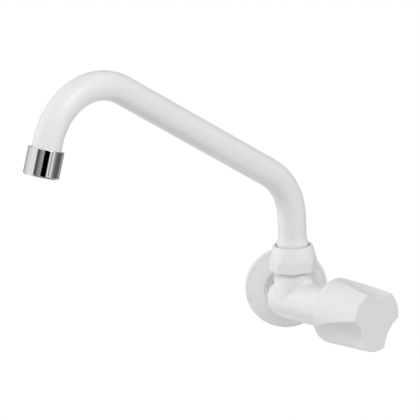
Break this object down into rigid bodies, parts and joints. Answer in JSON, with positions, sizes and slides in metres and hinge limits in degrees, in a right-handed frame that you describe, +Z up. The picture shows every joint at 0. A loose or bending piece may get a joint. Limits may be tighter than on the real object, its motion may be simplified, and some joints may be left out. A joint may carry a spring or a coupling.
{
  "type": "wall-mounted kitchen tap",
  "caption": "Wall tap with a bent swivel spout, an aerator at its tip and a lobed knob that screws a washer off its seat",
  "frame": {"origin": "on the axis of the inlet thread, in the plane of the finished wall", "axes": "+Y goes into the wall along the inlet, +X is to the right of a person facing the wall, +Z is up"},
  "size_m": [0.2759, 0.2222, 0.2468],
  "materials": {
    "body_white": "gloss",
    "rose_white": "gloss",
    "nut_white": "gloss",
    "spout_white": "gloss",
    "knob_white": "satin gloss",
    "natural_plastic": "matte",
    "black_rubber": "matte",
    "chrome": "mirror plated",
    "brass": "machined",
    "steel_mesh": "woven",
    "steel_clip": "satin"
  },
  "bodies": {
    "tap": {"tap_body": "body_white", "escutcheon": "rose_white", "spout_nut": "nut_white", "spout_slip_washer": "natural_plastic", "bonnet": "brass", "bonnet_gasket": "black_rubber"},
    "spout": {"spout_tube": "spout_white", "spout_retaining_ring": "natural_plastic", "spout_o_ring_1": "black_rubber", "spout_o_ring_2": "black_rubber", "aerator_shell": "chrome", "aerator_washer": "black_rubber", "aerator_cup": "natural_plastic", "aerator_plate": "natural_plastic", "aerator_screen_1": "steel_mesh", "aerator_screen_2": "steel_mesh"},
    "handle": {"knob": "knob_white", "spindle": "brass", "spindle_o_ring_1": "black_rubber", "spindle_o_ring_2": "black_rubber", "thrust_washer": "natural_plastic", "spindle_clip": "steel_clip"},
    "jumper": {"washer_carrier": "natural_plastic", "seat_washer": "black_rubber", "washer_screw": "brass"}
  },
  "joints": [
    {"name": "spout_swivel", "type": "hinge", "parent": "tap", "child": "spout", "pos_m": [0.00508, -0.03618, 0.0661], "axis": [0, 0, 1], "range_deg": [-40, 140]},
    {"name": "knob_turn", "type": "hinge", "parent": "tap", "child": "handle", "pos_m": [0.00508, -0.03618, 0], "axis": [0.6871, -0.7266, 0], "range_deg": [0, 540]},
    {"name": "jumper_lift", "type": "slide", "parent": "tap", "child": "jumper", "axis": [0.6871, -0.7266, 0], "range_m": [0, 0.0045]}
  ],
  "couplings": [
    {"joint": "jumper_lift", "follows": "knob_turn", "m_per_rad": 0.00047746}
  ]
}
